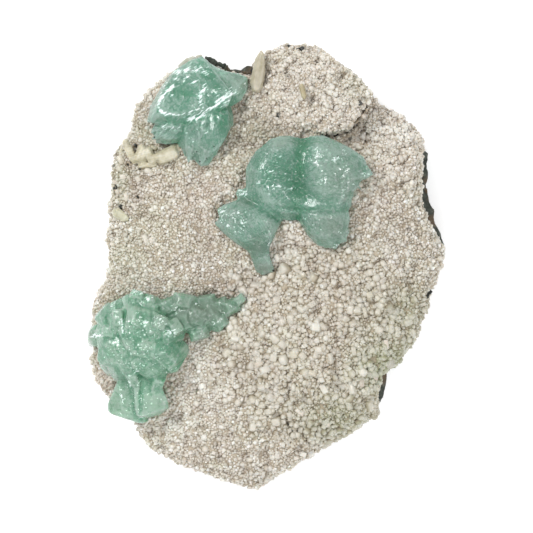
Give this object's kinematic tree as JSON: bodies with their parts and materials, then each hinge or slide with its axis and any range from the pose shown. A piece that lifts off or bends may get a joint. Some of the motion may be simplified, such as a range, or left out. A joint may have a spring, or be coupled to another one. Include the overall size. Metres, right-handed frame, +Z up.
{
  "type": "apophyllite cluster",
  "caption": "Loose mineral specimen: pale green apophyllite sprays and cream stilbite blades on a granular druse that crusts a dark basalt plate, lying on its back.",
  "frame": {"origin": "under the middle of the specimen's box, on the flat resting face of the basalt", "axes": "+Z up through the crystals, +Y along the plate's length towards its narrow upper edge, +X across it"},
  "size_m": [0.1192, 0.148, 0.0363],
  "materials": {
    "basalt": "matte",
    "druse": "satin",
    "apophyllite": "gloss",
    "stilbite": "satin"
  },
  "bodies": {
    "root": {"basalt_matrix": "basalt", "druse_crust": "druse", "apophyllite_upper_left": "apophyllite", "apophyllite_middle": "apophyllite", "apophyllite_lower_left": "apophyllite", "stilbite_upper_blade": "stilbite", "stilbite_left_blades": "stilbite", "stilbite_small_blade": "stilbite", "stilbite_edge_blade": "stilbite"}
  },
  "joints": []
}
